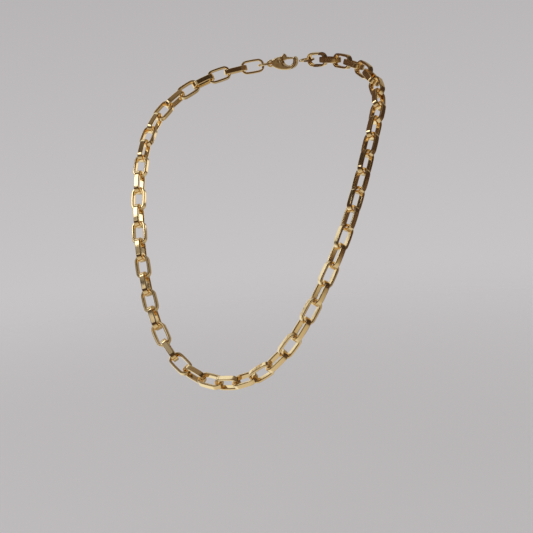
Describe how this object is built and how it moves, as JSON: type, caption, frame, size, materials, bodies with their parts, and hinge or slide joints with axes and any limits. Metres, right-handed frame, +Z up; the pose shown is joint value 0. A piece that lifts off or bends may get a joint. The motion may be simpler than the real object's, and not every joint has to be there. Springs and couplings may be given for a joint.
{
  "type": "chain necklace",
  "caption": "Chain necklace of flat-strip rectangular links that alternate square to each other, closed by a lobster clasp, in its worn drape.",
  "frame": {"origin": "nape of the neck, where the back of the worn loop rests", "axes": "+Z up, -Y to the wearer's front, +X to the wearer's left, so the chain falls towards -Y and -Z"},
  "size_m": [0.1225, 0.0996, 0.1441],
  "materials": {
    "link_gold": "polished yellow gold plate, flat sides slightly satin",
    "ring_gold": "polished yellow gold plate on round wire",
    "clasp_gold": "polished yellow gold plate on a cast clasp"
  },
  "bodies": {
    "clasp": {"clasp_body": "clasp_gold", "clasp_rivet": "clasp_gold"},
    "clasp_trigger": {"clasp_trigger": "clasp_gold"},
    "clasp_ring": {"clasp_ring": "ring_gold"},
    "link_01": {"link_01": "link_gold"},
    "link_02": {"link_02": "link_gold"},
    "link_03": {"link_03": "link_gold"},
    "link_04": {"link_04": "link_gold"},
    "link_05": {"link_05": "link_gold"},
    "link_06": {"link_06": "link_gold"},
    "link_07": {"link_07": "link_gold"},
    "link_08": {"link_08": "link_gold"},
    "link_09": {"link_09": "link_gold"},
    "link_10": {"link_10": "link_gold"},
    "link_11": {"link_11": "link_gold"},
    "link_12": {"link_12": "link_gold"},
    "link_13": {"link_13": "link_gold"},
    "link_14": {"link_14": "link_gold"},
    "link_15": {"link_15": "link_gold"},
    "link_16": {"link_16": "link_gold"},
    "link_17": {"link_17": "link_gold"},
    "link_18": {"link_18": "link_gold"},
    "link_19": {"link_19": "link_gold"},
    "link_20": {"link_20": "link_gold"},
    "link_21": {"link_21": "link_gold"},
    "link_22": {"link_22": "link_gold"},
    "link_23": {"link_23": "link_gold"},
    "link_24": {"link_24": "link_gold"},
    "link_25": {"link_25": "link_gold"},
    "link_26": {"link_26": "link_gold"},
    "link_27": {"link_27": "link_gold"},
    "link_28": {"link_28": "link_gold"},
    "link_29": {"link_29": "link_gold"},
    "link_30": {"link_30": "link_gold"},
    "link_31": {"link_31": "link_gold"},
    "link_32": {"link_32": "link_gold"},
    "link_33": {"link_33": "link_gold"},
    "link_34": {"link_34": "link_gold"},
    "link_35": {"link_35": "link_gold"},
    "link_36": {"link_36": "link_gold"},
    "link_37": {"link_37": "link_gold"},
    "link_38": {"link_38": "link_gold"},
    "link_39": {"link_39": "link_gold"},
    "link_40": {"link_40": "link_gold"},
    "link_41": {"link_41": "link_gold"},
    "link_42": {"link_42": "link_gold"},
    "link_43": {"link_43": "link_gold"},
    "link_44": {"link_44": "link_gold"},
    "link_45": {"link_45": "link_gold"},
    "link_46": {"link_46": "link_gold"},
    "link_47": {"link_47": "link_gold"},
    "link_48": {"link_48": "link_gold"},
    "link_49": {"link_49": "link_gold"},
    "link_50": {"link_50": "link_gold"},
    "link_51": {"link_51": "link_gold"},
    "end_ring": {"end_ring": "ring_gold"}
  },
  "joints": [
    {"name": "clasp_trigger_turn", "type": "hinge", "parent": "clasp", "child": "clasp_trigger", "pos_m": [-0.00478, -0.00226, 0.00075], "axis": [0.0496, -0.9925, -0.1114], "range_deg": [-18, 0], "stiffness_Nm_per_rad": 0.01, "springref_deg": 17.19},
    {"name": "clasp_ring_swing", "type": "hinge", "parent": "clasp", "child": "clasp_ring", "pos_m": [-0.01141, -0.00247, -0.00031], "axis": [-0.0055, -0.1118, 0.9937], "range_deg": [-30, 30]},
    {"name": "link_01_swing", "type": "hinge", "parent": "clasp_ring", "child": "link_01", "pos_m": [-0.0143, -0.00259, -0.00051], "axis": [0.0625, 0.1144, -0.9915], "range_deg": [-30, 30]},
    {"name": "link_02_swing", "type": "hinge", "parent": "link_01", "child": "link_02", "pos_m": [-0.02384, -0.00633, -0.00154], "axis": [-0.0625, -0.1144, 0.9915], "range_deg": [-30, 30]},
    {"name": "link_03_swing", "type": "hinge", "parent": "link_02", "child": "link_03", "pos_m": [-0.03137, -0.01002, -0.00295], "axis": [-0.4254, 0.9038, -0.0474], "range_deg": [-30, 30]},
    {"name": "link_04_swing", "type": "hinge", "parent": "link_03", "child": "link_04", "pos_m": [-0.03852, -0.01403, -0.0052], "axis": [0.3068, -0.0373, -0.951], "range_deg": [-30, 30]},
    {"name": "link_05_swing", "type": "hinge", "parent": "link_04", "child": "link_05", "pos_m": [-0.0449, -0.0187, -0.00834], "axis": [0.4501, -0.8371, 0.3108], "range_deg": [-30, 30]},
    {"name": "link_06_swing", "type": "hinge", "parent": "link_05", "child": "link_06", "pos_m": [-0.05025, -0.02397, -0.01232], "axis": [-0.6309, 0.0851, 0.7712], "range_deg": [-30, 30]},
    {"name": "link_07_swing", "type": "hinge", "parent": "link_06", "child": "link_07", "pos_m": [-0.05438, -0.02964, -0.01714], "axis": [-0.3745, 0.746, -0.5506], "range_deg": [-30, 30]},
    {"name": "link_08_swing", "type": "hinge", "parent": "link_07", "child": "link_08", "pos_m": [-0.05692, -0.03567, -0.02257], "axis": [0.9017, -0.0215, -0.4318], "range_deg": [-30, 30]},
    {"name": "link_09_swing", "type": "hinge", "parent": "link_08", "child": "link_09", "pos_m": [-0.05785, -0.04182, -0.02837], "axis": [0.1824, -0.6896, 0.7008], "range_deg": [-30, 30]},
    {"name": "link_10_swing", "type": "hinge", "parent": "link_09", "child": "link_10", "pos_m": [-0.05781, -0.0475, -0.0347], "axis": [-0.9983, -0.0367, 0.045], "range_deg": [-30, 30]},
    {"name": "link_11_swing", "type": "hinge", "parent": "link_10", "child": "link_11", "pos_m": [-0.05736, -0.05245, -0.0416], "axis": [-0.0594, 0.8028, -0.5933], "range_deg": [-30, 30]},
    {"name": "link_12_swing", "type": "hinge", "parent": "link_11", "child": "link_12", "pos_m": [-0.05651, -0.05674, -0.04889], "axis": [0.9934, 0.105, 0.0467], "range_deg": [-30, 30]},
    {"name": "link_13_swing", "type": "hinge", "parent": "link_12", "child": "link_13", "pos_m": [-0.05533, -0.06067, -0.05633], "axis": [0.071, -0.8747, 0.4794], "range_deg": [-30, 30]},
    {"name": "link_14_swing", "type": "hinge", "parent": "link_13", "child": "link_14", "pos_m": [-0.05389, -0.0644, -0.06383], "axis": [-0.9832, -0.1421, -0.1146], "range_deg": [-30, 30]},
    {"name": "link_15_swing", "type": "hinge", "parent": "link_14", "child": "link_15", "pos_m": [-0.05218, -0.06803, -0.07133], "axis": [0.0766, -0.8904, 0.4488], "range_deg": [-30, 0]},
    {"name": "link_16_swing", "type": "hinge", "parent": "link_15", "child": "link_16", "pos_m": [-0.05015, -0.07161, -0.07876], "axis": [0.9691, 0.1724, 0.1765], "range_deg": [-30, 30]},
    {"name": "link_17_swing", "type": "hinge", "parent": "link_16", "child": "link_17", "pos_m": [-0.04774, -0.07508, -0.08614], "axis": [0.0775, -0.8917, 0.4459], "range_deg": [-30, 0]},
    {"name": "link_18_swing", "type": "hinge", "parent": "link_17", "child": "link_18", "pos_m": [-0.04498, -0.07838, -0.09347], "axis": [-0.944, -0.2092, -0.255], "range_deg": [-30, 30]},
    {"name": "link_19_swing", "type": "hinge", "parent": "link_18", "child": "link_19", "pos_m": [-0.0419, -0.08153, -0.10074], "axis": [-0.0844, 0.9003, -0.427], "range_deg": [0, 30]},
    {"name": "link_20_swing", "type": "hinge", "parent": "link_19", "child": "link_20", "pos_m": [-0.03847, -0.08454, -0.10791], "axis": [0.9123, 0.242, 0.3303], "range_deg": [-30, 30]},
    {"name": "link_21_swing", "type": "hinge", "parent": "link_20", "child": "link_21", "pos_m": [-0.03453, -0.08735, -0.1149], "axis": [-0.0897, 0.9049, -0.416], "range_deg": [0, 30]},
    {"name": "link_22_swing", "type": "hinge", "parent": "link_21", "child": "link_22", "pos_m": [-0.02989, -0.08975, -0.12161], "axis": [-0.837, -0.294, -0.4616], "range_deg": [-30, 30]},
    {"name": "link_23_swing", "type": "hinge", "parent": "link_22", "child": "link_23", "pos_m": [-0.02423, -0.09164, -0.12767], "axis": [-0.249, 0.8348, -0.491], "range_deg": [0, 30]},
    {"name": "link_24_swing", "type": "hinge", "parent": "link_23", "child": "link_24", "pos_m": [-0.01742, -0.09311, -0.13254], "axis": [0.5285, 0.6861, 0.4999], "range_deg": [-30, 30]},
    {"name": "link_25_swing", "type": "hinge", "parent": "link_24", "child": "link_25", "pos_m": [-0.00957, -0.09384, -0.13575], "axis": [0.288, -0.5418, 0.7896], "range_deg": [-30, 0]},
    {"name": "link_26_swing", "type": "hinge", "parent": "link_25", "child": "link_26", "pos_m": [-0.00118, -0.09402, -0.1371], "axis": [0.1205, 0.8461, 0.5191], "range_deg": [0, 30]},
    {"name": "link_27_swing", "type": "hinge", "parent": "link_26", "child": "link_27", "pos_m": [0.0073, -0.09392, -0.13632], "axis": [0.0509, 0.5303, -0.8463], "range_deg": [0, 30]},
    {"name": "link_28_swing", "type": "hinge", "parent": "link_27", "child": "link_28", "pos_m": [0.01534, -0.09338, -0.1336], "axis": [0.2098, -0.8327, -0.5124], "range_deg": [-30, 0]},
    {"name": "link_29_swing", "type": "hinge", "parent": "link_28", "child": "link_29", "pos_m": [0.02249, -0.0921, -0.12916], "axis": [-0.3389, -0.5791, 0.7415], "range_deg": [-30, 0]},
    {"name": "link_30_swing", "type": "hinge", "parent": "link_29", "child": "link_30", "pos_m": [0.02846, -0.09031, -0.12338], "axis": [0.5431, -0.7614, -0.354], "range_deg": [-30, 30]},
    {"name": "link_31_swing", "type": "hinge", "parent": "link_30", "child": "link_31", "pos_m": [0.03336, -0.08807, -0.11679], "axis": [0.4806, 0.6485, -0.5903], "range_deg": [0, 30]},
    {"name": "link_32_swing", "type": "hinge", "parent": "link_31", "child": "link_32", "pos_m": [0.03745, -0.08535, -0.10986], "axis": [-0.7198, 0.6712, 0.1772], "range_deg": [-30, 30]},
    {"name": "link_33_swing", "type": "hinge", "parent": "link_32", "child": "link_33", "pos_m": [0.041, -0.08237, -0.10273], "axis": [0.4874, 0.6909, -0.534], "range_deg": [0, 30]},
    {"name": "link_34_swing", "type": "hinge", "parent": "link_33", "child": "link_34", "pos_m": [0.04417, -0.07926, -0.09548], "axis": [0.7911, -0.6047, -0.0921], "range_deg": [-30, 30]},
    {"name": "link_35_swing", "type": "hinge", "parent": "link_34", "child": "link_35", "pos_m": [0.04701, -0.07601, -0.08816], "axis": [0.4712, 0.7227, -0.5056], "range_deg": [0, 30]},
    {"name": "link_36_swing", "type": "hinge", "parent": "link_35", "child": "link_36", "pos_m": [0.04952, -0.07259, -0.08079], "axis": [-0.8363, 0.5471, 0.0368], "range_deg": [-30, 30]},
    {"name": "link_37_swing", "type": "hinge", "parent": "link_36", "child": "link_37", "pos_m": [0.05166, -0.06901, -0.07339], "axis": [-0.421, -0.7629, 0.4907], "range_deg": [-30, 30]},
    {"name": "link_38_swing", "type": "hinge", "parent": "link_37", "child": "link_38", "pos_m": [0.05344, -0.06541, -0.0659], "axis": [0.8983, -0.4393, -0.0075], "range_deg": [-30, 30]},
    {"name": "link_39_swing", "type": "hinge", "parent": "link_38", "child": "link_39", "pos_m": [0.05496, -0.06171, -0.0584], "axis": [0.3415, 0.8138, -0.4703], "range_deg": [-30, 30]},
    {"name": "link_40_swing", "type": "hinge", "parent": "link_39", "child": "link_40", "pos_m": [0.05621, -0.05784, -0.05093], "axis": [-0.9432, 0.3321, -0.0097], "range_deg": [-30, 30]},
    {"name": "link_41_swing", "type": "hinge", "parent": "link_40", "child": "link_41", "pos_m": [0.05716, -0.05366, -0.04359], "axis": [-0.2929, -0.8157, 0.4988], "range_deg": [-30, 30]},
    {"name": "link_42_swing", "type": "hinge", "parent": "link_41", "child": "link_42", "pos_m": [0.0577, -0.04894, -0.03654], "axis": [0.9552, -0.2771, 0.1043], "range_deg": [-30, 30]},
    {"name": "link_43_swing", "type": "hinge", "parent": "link_42", "child": "link_43", "pos_m": [0.05788, -0.04346, -0.03005], "axis": [0.2839, 0.7353, -0.6154], "range_deg": [-30, 30]},
    {"name": "link_44_swing", "type": "hinge", "parent": "link_43", "child": "link_44", "pos_m": [0.05728, -0.03741, -0.02411], "axis": [-0.9566, 0.1609, -0.2431], "range_deg": [-30, 30]},
    {"name": "link_45_swing", "type": "hinge", "parent": "link_44", "child": "link_45", "pos_m": [0.05527, -0.03123, -0.01861], "axis": [-0.38, -0.68, 0.6271], "range_deg": [-30, 30]},
    {"name": "link_46_swing", "type": "hinge", "parent": "link_45", "child": "link_46", "pos_m": [0.05153, -0.0255, -0.01356], "axis": [0.7936, -0.0454, 0.6067], "range_deg": [-30, 30]},
    {"name": "link_47_swing", "type": "hinge", "parent": "link_46", "child": "link_47", "pos_m": [0.04649, -0.0201, -0.00935], "axis": [0.4852, 0.7681, -0.4179], "range_deg": [-30, 30]},
    {"name": "link_48_swing", "type": "hinge", "parent": "link_47", "child": "link_48", "pos_m": [0.04037, -0.01524, -0.00598], "axis": [-0.5055, -0.0095, -0.8628], "range_deg": [-30, 30]},
    {"name": "link_49_swing", "type": "hinge", "parent": "link_48", "child": "link_49", "pos_m": [0.0334, -0.01107, -0.00345], "axis": [-0.4683, -0.8665, 0.1729], "range_deg": [-30, 30]},
    {"name": "link_50_swing", "type": "hinge", "parent": "link_49", "child": "link_50", "pos_m": [0.02595, -0.00732, -0.00186], "axis": [0.2048, -0.0378, 0.9781], "range_deg": [-30, 30]},
    {"name": "link_51_swing", "type": "hinge", "parent": "link_50", "child": "link_51", "pos_m": [0.01819, -0.00398, -0.00085], "axis": [0.4072, 0.9118, 0.0526], "range_deg": [-30, 30]},
    {"name": "end_ring_swing", "type": "hinge", "parent": "link_51", "child": "end_ring", "pos_m": [0.01013, -0.00136, -0.00024], "axis": [-0.0195, 0.1799, -0.9835], "range_deg": [-30, 30]}
  ]
}
